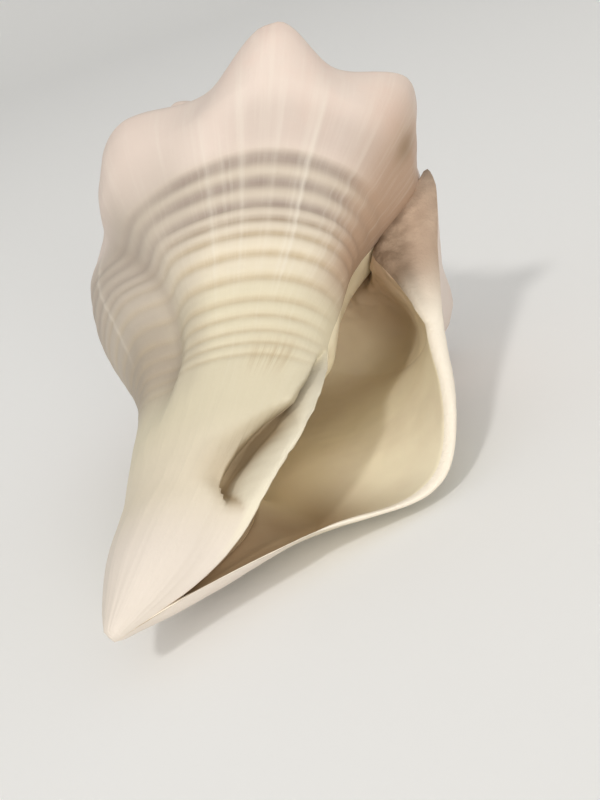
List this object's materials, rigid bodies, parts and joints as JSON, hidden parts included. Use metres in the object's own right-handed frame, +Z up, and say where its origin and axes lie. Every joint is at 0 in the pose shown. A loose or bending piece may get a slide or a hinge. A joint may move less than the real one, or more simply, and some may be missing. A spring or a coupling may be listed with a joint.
{
  "type": "conch shell",
  "caption": "Large knobbed conch shell with a coiled spire, spiral cords, a flared outer lip, an open canal and a free inner lip beside a small hollow.",
  "frame": {"origin": "centre of the bounding box's base, on the surface that the shell lies on", "axes": "+Z up from that surface, -Y towards the mouth and the canal"},
  "size_m": [0.122, 0.1708, 0.1222],
  "materials": {
    "shell_cream": "matte, slightly chalky shell with a smoother mouth"
  },
  "bodies": {
    "root": {"shell": "shell_cream"}
  },
  "joints": []
}
